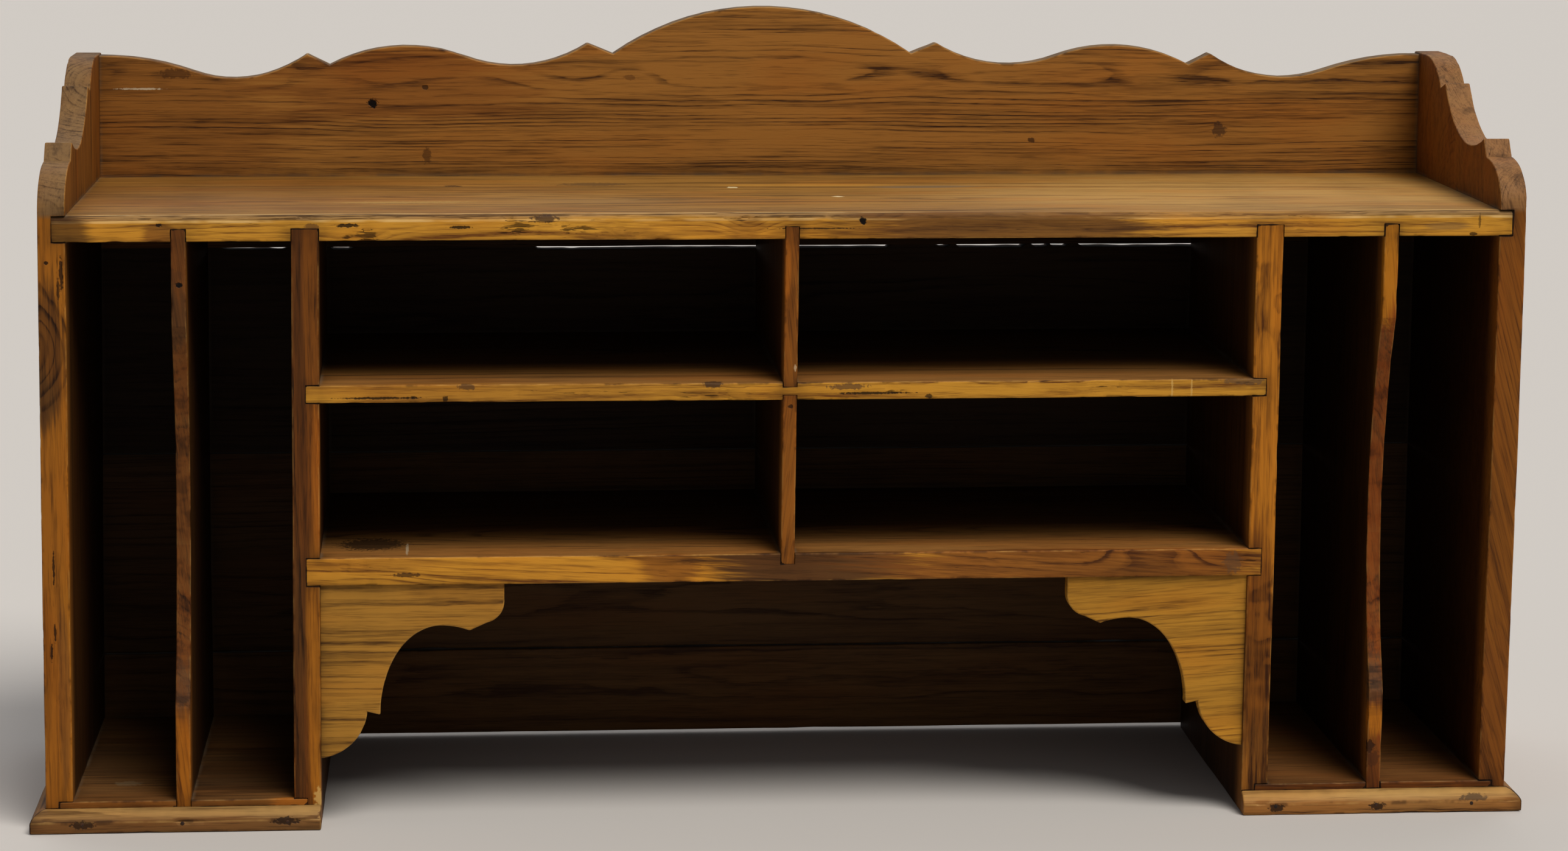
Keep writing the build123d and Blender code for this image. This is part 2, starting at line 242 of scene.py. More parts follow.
# How fast each noise of the timber changes, in cycles a metre along the grain and across it
WANDER, RIPPLE, CURL, JITTER = (1.6, 9), (7, 40), (62, 30), (60, 420)
STREAK, PORE, FIBRE, SCRATCH, PATCH = (3.2, 95), (70, 1300), (6, 150), (24, 640), (3.4, 19)
SLIT, FLAKE, TORN_PLACE, BLUSH = (34, 620), (75, 190), (22, 90), (6, 26)

# How dark one year's ring is from its early wood outwards
RING_STOPS = [(0.0, 0.35), (0.05, 1.0), (0.16, 0.8), (0.34, 0.2), (0.86, 0.0), (1.0, 0.35)]


def make_timber():
    """Ring-porous timber. Point is in the log's space: X along the grain, the pith at Y = Z = 0."""
    tree, given, made = group(
        "Timber",
        {"Point": VECTOR, "Ring": FLOAT, "Swell": FLOAT, "Curl": FLOAT},
        ("Early", "Pores", "Fibre", "Patch", "Streak"),
    )
    point = given["Point"]
    across = vec("LENGTH", vec("MULTIPLY", point, (0, 1, 1)))
    wander = about_zero(noised(point, WANDER, 1), 9 * MM)
    ripple = about_zero(noised(point, RIPPLE, 2), 2.6 * MM)
    curl = about_zero(noised(point, CURL, 1, 0.4), 4.2 * MM)
    jitter = about_zero(noised(point, JITTER, 1), 0.3 * MM)
    radius = across + wander + ripple + curl * given["Curl"] + jitter + given["Swell"]
    spacing = {"W": radius * 90.0, "Scale": 1.0, "Detail": 1.0}
    spacing = Wire(put(tree, "ShaderNodeTexNoise", spacing, noise_dimensions="1D").outputs[0])
    count = radius / given["Ring"] + spacing * 2.4
    ring = {"W": calc("FLOOR", count)}
    chance = Wire(put(tree, "ShaderNodeTexWhiteNoise", ring, noise_dimensions="1D").outputs[0])
    strength = scaled(chance, 0.6, 0.4)
    patchy = step(noised(point, STREAK, 2, 0.6), 0.34, 0.64, 0.3, 1.3)
    early = ramp(calc("FRACT", count), RING_STOPS) * strength * patchy
    pores = step(noised(point, PORE, 2, 0.6), 0.5, 0.66) * scaled(early, 0.85, 0.15)
    return deliver(
        tree,
        made,
        Early=early,
        Pores=pores,
        Fibre=noised(point, FIBRE, 4, 0.78),
        Patch=noised(point, PATCH, 3, 0.55, 0.4),
        Streak=step(noised(point, SCRATCH, 2, 0.6, 0.2), 0.5, 0.64),
    )


def make_fissures():
    """Torn grain and drying cracks, dark slits along the grain where Density allows them."""
    tree, given, made = group("Fissures", {"Point": VECTOR, "Density": FLOAT}, ("Crack",))
    point = given["Point"]
    flake = about_zero(noised(point, FLAKE, 2, 0.6, 0.5), 0.17)
    where = about_zero(noised(point, TORN_PLACE, 1, 0.5), 0.16)
    level = noised(point, SLIT, 2, 0.62, 0.6) + flake + where
    limit = scaled(given["Density"], -0.25, 0.89)
    return deliver(tree, made, Crack=calc("MULTIPLY", level - limit, 16.0, clamp=True))


def make_bay_shade():
    """Painted shade: where a surface is inside the bays, behind the front, under the top, off the
    outsides.
    """
    tree, given, made = group("Bay_shade", {"Position": VECTOR, "Fade": FLOAT}, ("Inside",))
    x, y, z = split(given["Position"])
    deep = step((y - FRONT) / given["Fade"], 0.03, 1.0)
    below = fade_out(z, SHELF_TOP - 7 * MM, SHELF_TOP - 2 * MM)
    between = fade_out(calc("ABSOLUTE", x), HALF_WIDTH - 8 * MM, HALF_WIDTH - 3 * MM)
    ahead = fade_out(y, BACK + 10 * MM, BACK + 14 * MM)
    return deliver(tree, made, Inside=deep * below * between * ahead)


TIMBER, FISSURES, BAY_SHADE = make_timber(), make_fissures(), make_bay_shade()

# ---- Timber of each board --------------------------------------------------------------------

GRIME = rgb(24, 13, 7)
CRACK_COLOUR = rgb(28, 14, 6)
SAW_MARK = rgb(44, 30, 22)
DUST = rgb(120, 104, 84)
RUBBED_WOOD = rgb(214, 170, 96)
WARMTH = rgb(255, 226, 190)
PIT_LIMIT = 90  # a spot whose red, green and blue add up to less is a hole, and is sunk


class Look:
    """How one board is cut and coloured. Lengths in millimetres, colours in sRGB 0 to 255.

    grain is the axis along the fibres, and pith is how far the log's middle is from the board's,
    along the other two axes in order. Colours come in pairs: between the grain lines, and in them.
    """

    tilt = (0.0, 0.0)  # the log's slope against the board on the two other axes
    ring = 3.6
    contrast = 0.7
    knots = ()  # (place, reach, height of the rings' swell)
    curls = ()  # (place, reach, how curly)
    tints = ()  # (place, reach, colours, strength)
    spots = ()  # (place, reach, colour, strength)
    torn = ()  # (place, reach, strength)
    bands = ()  # saw marks: (place, reach, strength)
    tears = 0.15  # cracks all along the front edge
    chips = 1.0
    dust = 0.35
    lip = None  # colours of the upper front arris: worn, its dark lines, and a painted highlight along its rim
    top = None  # colours of the upper face
    crest = None  # colours of the scrolled edge above the top shelf
    inside = 0.78  # how much painted shade darkens it inside the bays
    fade = 34  # how far behind the front it gets that dark
    roughness = 0.56

    def __init__(self, grain, pith, face, edge, **more):
        self.grain, self.pith = grain, pith
        self.face, self.edge = face, edge
        for key, value in more.items():
            assert hasattr(self, key), key
            setattr(self, key, value)


def log_point(look, position, low, high):
    """The log's own coordinates at a position: along the grain, then across it from the pith."""
    middle = (low + high) / 2
    axis = "XYZ".index(look.grain)
    others = [i for i in range(3) if i != axis]
    parts = split(position)
    along = parts[axis] - middle[axis]
    cross = []
    for other, offset, tilt in zip(others, look.pith, look.tilt):
        cross.append(parts[other] - (middle[other] + offset * MM) + along * tilt)
    # Boards at different places come from different stretches of the log
    seed = 7.0 * (abs(middle.x) * 3.1 + middle.y + middle.z * 5.7) + (3.0 if middle.x < 0 else 0.0)
    inputs = {0: along + seed, 1: cross[0], 2: cross[1]}
    return Wire(put(position.tree, "ShaderNodeCombineXYZ", inputs).outputs[0])


def timber_material(name, look, low, high):
    material, tree = blank_material(name)
    position = read(tree, "ShaderNodeTexCoord", "Object")
    # The same surface before it was worn and bent, and its distances to arrises and neighbours
    place_before = read(tree, "ShaderNodeAttribute", "Vector", attribute_name="place")
    arris = read(tree, "ShaderNodeAttribute", "Fac", attribute_name="arris")
    nook = read(tree, "ShaderNodeAttribute", "Fac", attribute_name="nook")
    normal = split(read(tree, "ShaderNodeNewGeometry", "True Normal"))
    point = log_point(look, position, low, high)
    depth, level = split(place_before)[1:]

    inputs = {"Point": point, "Ring": look.ring * MM}
    if look.knots:
        inputs["Swell"] = hills(position, look.knots) * MM
    if look.curls:
        inputs["Curl"] = hills(position, look.curls)
    timber = put(tree, "ShaderNodeGroup", inputs, node_tree=TIMBER)
    early, pores, fibre, patch, streak = (Wire(out) for out in timber.outputs)

    # Dark grain lines, softened by the fibre
    dark = early * look.contrast + pores * (0.4 * look.contrast)
    dark = dark + about_zero(fibre, 1.0) + about_zero(patch, 0.55) + streak * 0.3
    dark = calc("ADD", dark, 0.04, clamp=True)

    def toned(pair):
        return mixed(dark, rgb(*pair[0]), rgb(*pair[1]))

    at_front = fade_out(depth, FRONT + 0.9 * MM, FRONT + 3.2 * MM)
    if look.bands:
        scooped = step(normal[1], -0.3, -0.7) * calc("LESS_THAN", depth, 0.0)
        at_front = calc("MAXIMUM", at_front, scooped)
    colour = mixed(at_front, toned(look.face), toned(look.edge))
    if look.top:
        colour = mixed(step(normal[2], 0.35, 0.8), colour, toned(look.top))
    # Painted shade inside the bays, over wood that is also darker with age
    inputs = {"Position": place_before, "Fade": look.fade * MM}
    bay_shade = Wire(put(tree, "ShaderNodeGroup", inputs, node_tree=BAY_SHADE).outputs[0]) * (1.0 - at_front)
    shade = scaled(bay_shade, -look.inside, 1.0)
    grey = Wire(put(tree, "ShaderNodeCombineColor", {0: shade, 1: shade, 2: shade}).outputs[0])
    colour = mixed(1.0, colour, grey, "MULTIPLY")

    if look.crest:
        thin = min(range(3), key=lambda i: high[i] - low[i])
        edgewise = fade_out(calc("ABSOLUTE", normal[thin]), 0.45, 0.8)
        above = step(level, SHELF_TOP - 3 * MM, SHELF_TOP + 2 * MM)
        not_back = fade_out(normal[1], 0.85, 0.95)
        colour = mixed(edgewise * above * not_back, colour, toned(look.crest))
    if look.lip:
        worn_lip, lip_line, lip_highlight_colour = (rgb(*part) for part in look.lip)
        upper = step(level, high.z - 9 * MM, high.z - 8 * MM)
        slant = calc("ABSOLUTE", depth + level - (FRONT + high.z))
        over = fade_out(slant, 3.2 * MM, 5.2 * MM)
        lines = step(noised(position, (16, 700), 3, 0.65), 0.44, 0.58)
        colour = mixed(upper * over * 0.85, colour, mixed(lines, worn_lip, lip_line))
        # A painted highlight along the worn lip's lower rim, broken in places
        near_lip_highlight = fade_out(calc("ABSOLUTE", slant - 5 * MM), 0.5 * MM, 1.6 * MM)
        broken = step(noised(position, (30, 90), 2, 0.6), 0.34, 0.56, 0.1, 1.0)
        colour = mixed(upper * near_lip_highlight * broken * 0.75, colour, lip_highlight_colour)

    # Places where a board is darker, redder or paler
    torn_edge = about_zero(fibre, 0.75) + about_zero(patch, 0.3)
    for place, reach, pair, strength in look.tints:
        bell = hill(position, place, reach)
        ragged = bell + torn_edge * step(bell, 0.02, 0.3)
        colour = mixed(step(ragged, 0.15, 0.62, 0.0, strength), colour, toned(pair))
    blush = step(noised(point, BLUSH, 2, 0.5), 0.42, 0.7, 0.0, 0.45)
    colour = mixed(blush, colour, WARMTH, "MULTIPLY")

    # Saw marks across the grain, where a scoop cut through it
    if look.bands:
        sawn = step(noised(position, (30, 30, 260), 1, 0.5, 0.3), 0.46, 0.6)
        colour = mixed(hills(position, look.bands) * sawn, colour, SAW_MARK)

    # Handled arrises are rubbed paler in places and hold dark bruises in others
    rub = noised(position, 45, 3, 0.6)
    worn = fade_out(arris, 0.3 * MM, 1.6 * MM) * step(rub, 0.4, 0.62)
    pale = [(a + b) / 2 for a, b in zip(rgb(*look.edge[0]), RUBBED_WOOD)]
    colour = mixed(worn * scaled(bay_shade, -0.8, 0.8) * 0.6, colour, pale)
    bruise = fade_out(arris, 0.6 * MM, 3 * MM) * step(rub, 0.44, 0.34)
    colour = mixed(bruise * 0.5, colour, GRIME)

    # Grime in corners, dust at their very bottom, and a dark open line at each front joint
    cloud = noised(position, 30, 3, 0.6)
    soil = calc("EXPONENT", nook * -150.0) * step(cloud, 0.3, 0.7, 0.15, 0.6)
    colour = mixed(soil, colour, GRIME)
    powder = fade_out(nook, 0.6 * MM, 3.4 * MM) * step(cloud, 0.3, 0.65)
    colour = mixed(powder * (1.0 - at_front) * look.dust, colour, DUST)
    joint = calc("LESS_THAN", nook, step(rub, 0.35, 0.7, 0.1 * MM, 0.9 * MM))
    colour = mixed(joint * at_front * 0.9, colour, GRIME)

    # Torn grain and cracks, thickest where the board is listed as torn
    density = at_front * (fade_out(arris, 1 * MM, 7 * MM) * 0.12 + look.tears)
    if look.torn:
        density = density + hills(position, look.torn)
    inputs = {"Point": point, "Density": density}
    crack = Wire(put(tree, "ShaderNodeGroup", inputs, node_tree=FISSURES).outputs[0])
    colour = mixed(crack * 0.75, colour, CRACK_COLOUR)

    # Knot hearts, stains and other spots
    crumble = about_zero(noised(position, 330, 2, 0.6), 0.7)
    pit = 0.0
    for place, reach, tint, strength in look.spots:
        bell = hill(position, place, reach)
        around = bell + crumble * step(bell, 0.02, 0.3)
        amount = step(around, 0.3, 0.6, 0.0, strength)
        colour = mixed(amount, colour, rgb(*tint))
        if sum(tint) < PIT_LIMIT:
            pit = pit + amount

    height = crack * -1.3 - pit + pores * -0.3 + early * -0.16 + fibre * 0.16
    rough = scaled(fibre, 0.16, look.roughness - 0.08) + crack * 0.3
    rough = calc("ADD", rough, worn * -0.08, clamp=True)
    surface(tree, colour, rough, height, (0.75, 0.6 * MM), {"Specular IOR Level": 0.1})
    return material


# ---- Shapes ----------------------------------------------------------------------------------

SHARP = math.radians(25)  # edges that turn less than this aren't arrises
FLAT = math.radians(0.4)
JOINT_WIDTH = 0.3 * MM  # bevels: where two boards meet, on open arrises, and on the top's lip
ARRIS_WIDTH = 1.3 * MM
LIP_WIDTH = 4.2 * MM
SAMPLE = 1.5 * MM  # between the points that stand for an arris
COARSE = 24 * MM  # cells on the faces
FINE = 3.2 * MM  # cells along the front
STRIP = 8 * MM  # how deep those fine cells go
RUBBED = 5 * MM  # how far from an arris wear reaches
FAR = 0.03
SAME = 1e-5  # points nearer than this are in one plane
TOUCHING = 0.2 * MM

RACKED = 0.0095  # lean of the front, per height
FEET_RACKED = 0.0012
TOED_IN = 0.0145  # lean of the left end's back, per height
LEFT_END, END_WIDTH = -0.40, 0.18  # where that begins, and over how much it grows
WAVES = ((4.5, (0, 0, 0), 0.5 * MM), (17, (9, 4, 2), 0.25 * MM))  # (rate, offset, size)
WARP_SEED = 1794865826  # left unset, noise_vector starts from the clock and differs each run
noise.seed_set(WARP_SEED)


def bend(point):
    """How far all boards and nails near a point have gone out of true together."""
    deep = min(max((point.y - FRONT) / (BACK - FRONT), 0.0), 1.1)
    racked = (0.75 - 0.25 * point.x / HALF_WIDTH) * (RACKED * point.z - FEET_RACKED)
    at_left = min(max((LEFT_END - point.x) / END_WIDTH, 0.0), 1.0)
    toed_in = TOED_IN * point.z * at_left * at_left * (3 - 2 * at_left)
    move = Vector((racked * (1 - deep) + toed_in * deep, 0, 0))
    for rate, offset, size in WAVES:
        move += noise.noise_vector(point * rate + Vector(offset)) * size
    return move


def islands(mesh):
    """The connected pieces of a mesh, as arrays of points."""
    bm = bmesh.new()
    bm.from_mesh(mesh)
    bmesh.ops.remove_doubles(bm, verts=bm.verts, dist=1e-6)
    left, found = set(bm.verts), []
    while left:
        stack, seen = [left.pop()], []
        while stack:
            vert = stack.pop()
            seen.append(vert.co.copy())
            for edge in vert.link_edges:
                other = edge.other_vert(vert)
                if other in left:
                    left.discard(other)
                    stack.append(other)
        found.append(np.array(seen))
    bm.free()
    return sorted(found, key=lambda points: tuple(points.mean(0)))


NAILS = {node: islands(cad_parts[node].data) for node in NAIL_NODES}
NAIL_BOXES = [(p.min(0) - 5e-5, p.max(0) + 5e-5) for group_ in NAILS.values() for p in group_]
WOOD_NODES = sorted(set(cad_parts) - set(NAIL_NODES))


def tree_of(node):
    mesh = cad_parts[node].data
    corners = [vert.co for vert in mesh.vertices]
    return BVHTree.FromPolygons(corners, [face.vertices[:] for face in mesh.polygons])


SURFACES = {node: tree_of(node) for node in WOOD_NODES}
BOXES = {node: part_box(node) for node in WOOD_NODES}


def box_gap(box, point):
    low, high = box
    return math.sqrt(sum(max(low[i] - point[i], 0, point[i] - high[i]) ** 2 for i in range(3)))


def neighbours(node):
    """The boards that touch a board, or nearly."""
    low, high = BOXES[node]
    reach = 1.5 * MM

    def near(a, b):
        return all(a[i] < high[i] + reach and b[i] > low[i] - reach for i in range(3))

    return [other for other in WOOD_NODES if other != node and near(*BOXES[other])]


def gap_to_others(others, point, limit=0.04):
    """How far the nearest of some boards' surfaces is from a point."""
    nearest = limit
    for other in others:
        if box_gap(BOXES[other], point) < nearest:
            distance = SURFACES[other].find_nearest(point, nearest)[3]
            if distance is not None:
                nearest = min(nearest, distance)
    return nearest


def plain_solid(node):
    """The CAD board as clean flat faces, its nail holes filled."""
    bm = bmesh.new()
    bm.from_mesh(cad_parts[node].data)
    bmesh.ops.remove_doubles(bm, verts=bm.verts, dist=SAME)
    low, high = (np.array(corner) for corner in BOXES[node])
    near = [(a, b) for a, b in NAIL_BOXES if (a < high).all() and (b > low).all()]
    walls = []
    for face in bm.faces:
        points = np.array([v.co for v in face.verts])
        if any((points > a).all() and (points < b).all() for a, b in near):
            walls.append(face)
    bmesh.ops.delete(bm, geom=walls, context="FACES")
    rims = [e for e in bm.edges if e.is_boundary]
    if rims:
        bmesh.ops.holes_fill(bm, edges=rims, sides=0)
    bmesh.ops.recalc_face_normals(bm, faces=bm.faces)
    bmesh.ops.dissolve_limit(bm, angle_limit=FLAT, verts=bm.verts, edges=bm.edges)
    return bm


def bevelled(bm, node, others, lip):
    """The board with every arris softened, and the sample points of its open arrises."""
    layer = bm.edges.layers.float.new("bevel_weight_edge")
    samples = []
    for edge in bm.edges:
        if len(edge.link_faces) != 2 or edge.calc_face_angle_signed(0.0) < SHARP:
            continue
        a, b = (v.co for v in edge.verts)
        middle = (a + b) / 2
        if gap_to_others(others, middle, 1 * MM) < TOUCHING:
            edge[layer] = JOINT_WIDTH / LIP_WIDTH
            continue
        on_front = abs(a.y - FRONT) + abs(b.y - FRONT) < SAME
        at_lip = lip and on_front and min(a.z, b.z) > BOXES[node][1].z - SAME
        edge[layer] = 1.0 if at_lip else ARRIS_WIDTH / LIP_WIDTH
        count = max(2, int((b - a).length / SAMPLE) + 1)
        samples += [a.lerp(b, i / (count - 1)) for i in range(count)]
    mesh = bpy.data.meshes.new(node + "_plain")
    bm.to_mesh(mesh)
    bm.free()
    holder = bpy.data.objects.new(node + "_plain", mesh)
    bpy.context.scene.collection.objects.link(holder)
    modifier = holder.modifiers.new("Arris", "BEVEL")
    modifier.limit_method = "WEIGHT"
    modifier.width = LIP_WIDTH
    modifier.segments = 3
    graph = bpy.context.evaluated_depsgraph_get()
    softened = bpy.data.meshes.new_from_object(holder.evaluated_get(graph))
    bpy.data.objects.remove(holder)
    bpy.data.meshes.remove(mesh)
    out = bmesh.new()
    out.from_mesh(softened)
    bpy.data.meshes.remove(softened)
    return out, samples


def sliced(bm, axis, places, where=None):
    """Cuts the faces, or only those whose middles pass a test, along planes across an axis."""
    normal = Vector((0, 0, 0))
    normal[axis] = 1

    def crossed(face, place):
        spans = [v.co[axis] for v in face.verts]
        return where(face.calc_center_median()) and min(spans) < place < max(spans)

    for place in places:
        picked = [face for face in bm.faces if where is None or crossed(face, place)]
        if not picked:
            continue
        edges = {e for f in picked for e in f.edges}
        verts = {v for f in picked for v in f.verts}
        geometry = [*verts, *edges, *picked]
        spot = normal * place
        bmesh.ops.bisect_plane(bm, geom=geometry, plane_co=spot, plane_no=normal, dist=2 * SAME)


def grid(low, high, pitch):
    count = max(1, round((high - low) / pitch))
    return [low + (high - low) * i / count for i in range(1, count)]


def contact_places(node, others, axis):
    """Where a board is cut across an axis, so that grime and dust follow its neighbours closely."""
    low, high = BOXES[node][0][axis], BOXES[node][1][axis]
    found = []
    for other in others:
        for plane in (BOXES[other][0][axis], BOXES[other][1][axis]):
            found += [plane + offset * MM for offset in (-10, -3.2, 0, 3.2, 10)]
    kept = []
    for place in sorted(found):
        if low + 2 * MM < place < high - 2 * MM and (not kept or place - kept[-1] > 0.9 * MM):
            kept.append(place)
    return kept


def meshed(bm, node, others, look):
    """Cuts the board into cells: broad ones on its faces, small ones along its front."""
    low, high = BOXES[node]
    size = high - low
    along = "XYZ".index(look.grain)
    thin = min(range(3), key=lambda i: size[i])
    for axis in range(3):
        if axis != thin:
            sliced(bm, axis, grid(low[axis], high[axis], COARSE))
            sliced(bm, axis, contact_places(node, others, axis))
    if low.y < FRONT + 1 * MM and size.y > 50 * MM:
        sliced(bm, 1, [FRONT + 3 * MM, FRONT + STRIP])
        strip = grid(low[along], high[along], FINE)
        sliced(bm, along, strip, lambda middle: middle.y <= FRONT + STRIP)
        across = grid(low[thin], high[thin], FINE)
        sliced(bm, thin, across, lambda middle: middle.y < FRONT + SAME)
    if node == "upper_back_board":
        sliced(bm, 2, [high.z - STRIP])
        sliced(bm, 0, grid(low.x, high.x, FINE), lambda middle: middle.z > high.z - STRIP)


# Where daylight shows between the gallery board and the one under it: along X, and how much.
# Each slit opens and shuts over a length of SLIT_END, in millimetres.
SLIT_END = 4
SLITS = (
    (-468, -412, 0.72), (-373, -355, 0.85), (-197, 1, 1), (8, 111, 0.95), (153, 164, 0.8),
    (171, 230, 1), (237, 251, 1), (254, 268, 0.9), (279, 384, 1),
)


def closing(point):
    """How far the top of the upper back board rises at a point to shut the slit above it."""
    top = BOXES["upper_back_board"][1].z
    if point.z < top - 2 * MM:
        return 0.0
    openness = 0.0
    for start, end, share in SLITS:
        opening = (point.x / MM - start) / SLIT_END + 0.5
        shutting = (end - point.x / MM) / SLIT_END + 0.5
        openness = max(openness, share * min(1.0, opening, shutting))
    gap = GALLERY_BOTTOM - top + 0.3 * MM
    return gap * (1 - openness) + 0.5 * MM * (1 + noise.noise(point * 60)) * openness


def worn_off(bm, node, samples, look, seed):
    """Rubs and chips the arrises, pits the torn places, and puts the board out of true."""
    along = "XYZ".index(look.grain)
    lines = kdtree.KDTree(len(samples))
    for i, sample in enumerate(samples):
        lines.insert(sample, i)
    lines.balance()
    bm.normal_update()
    gaps, moves = [], []
    for vert in bm.verts:
        gap = min(lines.find(vert.co)[2], FAR) if samples else FAR
        gaps.append(gap)
        move = bend(vert.co)
        if gap < RUBBED:
            spot = vert.co * 160 + Vector((seed, 0, 0))
            spot[along] = vert.co[along] * 38
            rub = 0.5 + 0.5 * noise.noise(spot)
            spot[along] = vert.co[along] * 75 + 31
            chip = max(0.0, noise.noise(spot * 0.8) - 0.28) * 3.2 * look.chips
            fade = (1 - gap / RUBBED) ** 2
            move -= vert.normal * fade * (0.4 * rub + chip) * MM
        if vert.co.y < FRONT + 1 * MM:
            depth = 0.0
            for place, reach, strength in look.torn:
                away = sum(((vert.co[i] / MM - place[i]) / reach[i]) ** 2 for i in range(3))
                if away < 4:
                    depth += strength * math.exp(-away)
            if depth > 0.05:
                spot = vert.co * 230
                spot[along] = vert.co[along] * 90
                dent = max(0.0, noise.noise(spot + Vector((seed, 5, 1))) + 0.05)
                move.y += depth * dent * 2.2 * MM
        if node == "upper_back_board":
            move.z += closing(vert.co)
        moves.append(move)
    for vert, move in zip(bm.verts, moves):
        vert.co += move
    return gaps


def stand_in(node, name, mesh, material):
    """A mesh as the piece that is seen in place of a CAD node."""
    mesh.shade_smooth()
    mesh.materials.append(material)
    piece = bpy.data.objects.new(name, mesh)
    bpy.context.scene.collection.objects.link(piece)
    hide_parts(node)
    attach(piece, "root")
    return piece


def timber_piece(node, look, seed):
    low, high = BOXES[node]
    others = neighbours(node)
    bm, samples = bevelled(plain_solid(node), node, others, look.lip is not None)
    meshed(bm, node, others, look)
    nooks = [gap_to_others(others, v.co) for v in bm.verts]
    places = np.array([v.co for v in bm.verts])
    arrises = worn_off(bm, node, samples, look, seed)
    mesh = bpy.data.meshes.new(node + "_worn")
    bm.to_mesh(mesh)
    bm.free()
    for label, kind, key, values in (
        ("arris", "FLOAT", "value", arrises),
        ("nook", "FLOAT", "value", nooks),
        ("place", "FLOAT_VECTOR", "vector", places),
    ):
        attribute = mesh.attributes.new(label, kind, "POINT")
        attribute.data.foreach_set(key, np.array(values, np.float32).ravel())
    material = timber_material("Timber_" + node, look, low, high)
    piece = stand_in(node, node + "_timber", mesh, material)
    piece.modifiers.new("Flat_faces", "WEIGHTED_NORMAL").weight = 80


def nail_material():
    material, tree = blank_material("Rusted_iron")
    position = read(tree, "ShaderNodeTexCoord", "Object")
    scale = noised(position, 900, 4, 0.6)
    blotch = step(noised(position, 260, 3, 0.6), 0.35, 0.65)
    colour = mixed(blotch, rgb(34, 27, 23), rgb(80, 48, 28))
    colour = mixed(step(scale, 0.55, 0.75), colour, rgb(64, 58, 54))
    rough = step(scale, 0.2, 0.8, 0.5, 0.85)
    surface(tree, colour, rough, scale, (0.7, 0.2 * MM), {"Metallic": 0.55})
    return material


IRON = nail_material()

# A nail head's outline from its middle: share of its radius, and height. The height is in
# millimetres over the wood's surface, or in radii under it.
HEAD_PROFILE = (
    (0.0, 0.1), (0.45, 0.08), (0.8, 0.02), (0.97, -0.06),
    (1.0, -0.25), (0.5, -0.9), (0.48, -3.0), (0.0, -3.2),
)
HEAD_SIDES = 14


def nail_piece(node):
    """The nails of one CAD node, with low hammered heads nearly flush with the wood."""
    bm = bmesh.new()
    for index, points in enumerate(NAILS[node]):
        low, high = points.min(0), points.max(0)
        axis = int(np.argmax(high - low))
        ends = [points[np.abs(points[:, axis] - end[axis]) < 1e-5] for end in (low, high)]
        head_at_high = len(ends[1]) > len(ends[0])
        end = ends[1] if head_at_high else ends[0]
        centre = Vector((low + high) / 2)
        centre[axis] = end[0][axis]
        radius = np.linalg.norm(end - np.array(centre), axis=1).max()
        out = Vector((0, 0, 0))
        out[axis] = 1 if head_at_high else -1
        turn = out.to_track_quat("Z", "Y").to_matrix().to_4x4()
        place = Matrix.Translation(centre + bend(centre)) @ turn
        rings = []
        for share, height in HEAD_PROFILE:
            level = height * MM if height > -0.1 else height * radius
            if share == 0:
                rings.append([bm.verts.new(place @ Vector((0, 0, level)))])
                continue
            ring = []
            for k in range(HEAD_SIDES):
                angle = math.tau * k / HEAD_SIDES
                dent = noise.noise(Vector((k * 1.7, index * 3.3, share * 2)))
                reach = radius * share * (1 + 0.06 * dent)
                spot = Vector((math.cos(angle) * reach, math.sin(angle) * reach, level))
                ring.append(bm.verts.new(place @ spot))
            rings.append(ring)
        for upper, lower in zip(rings, rings[1:]):
            for k in range(HEAD_SIDES):
                after = (k + 1) % HEAD_SIDES
                if len(upper) == 1:
                    bm.faces.new((upper[0], lower[k], lower[after]))
                elif len(lower) == 1:
                    bm.faces.new((upper[k], lower[0], upper[after]))
                else:
                    bm.faces.new((upper[k], lower[k], lower[after], upper[after]))
    bmesh.ops.recalc_face_normals(bm, faces=bm.faces)
    mesh = bpy.data.meshes.new(node + "_heads")
    bm.to_mesh(mesh)
    bm.free()
    stand_in(node, node + "_iron", mesh, IRON)


# ---- What each board looks like --------------------------------------------------------------

# Colours in pairs, between the grain lines and in them, and a single one for holes and cracks
AMBER = ((198, 140, 46), (104, 60, 20))
TAN = ((170, 120, 46), (78, 49, 19))
RED_BROWN = ((122, 68, 22), (58, 28, 10))
ORANGE = ((176, 104, 30), (104, 54, 14))
BROWN = ((134, 84, 32), (66, 36, 13))
DARK = ((88, 56, 24), (42, 24, 10))
GREY_BROWN = ((110, 84, 58), (54, 38, 28))
MOULDING = ((146, 102, 54), (76, 48, 24))
OLD_BACK = ((130, 90, 48), (82, 53, 28))
BLACK = (14, 8, 5)

LOOKS = {}


def board(node, grain, pith, face, edge, **more):
    LOOKS[node] = Look(grain, pith, face, edge, **more)


def front(x, z):
    """A place on the front, in millimetres."""
    return (x, FRONT / MM, z)


def back_at(x, z):
    """A place on the gallery board's face, in millimetres."""
    return (x, BACK / MM, z)


def deck(x, y):
    """A place on the top shelf, in millimetres."""
    return (x, y, SHELF_TOP / MM)


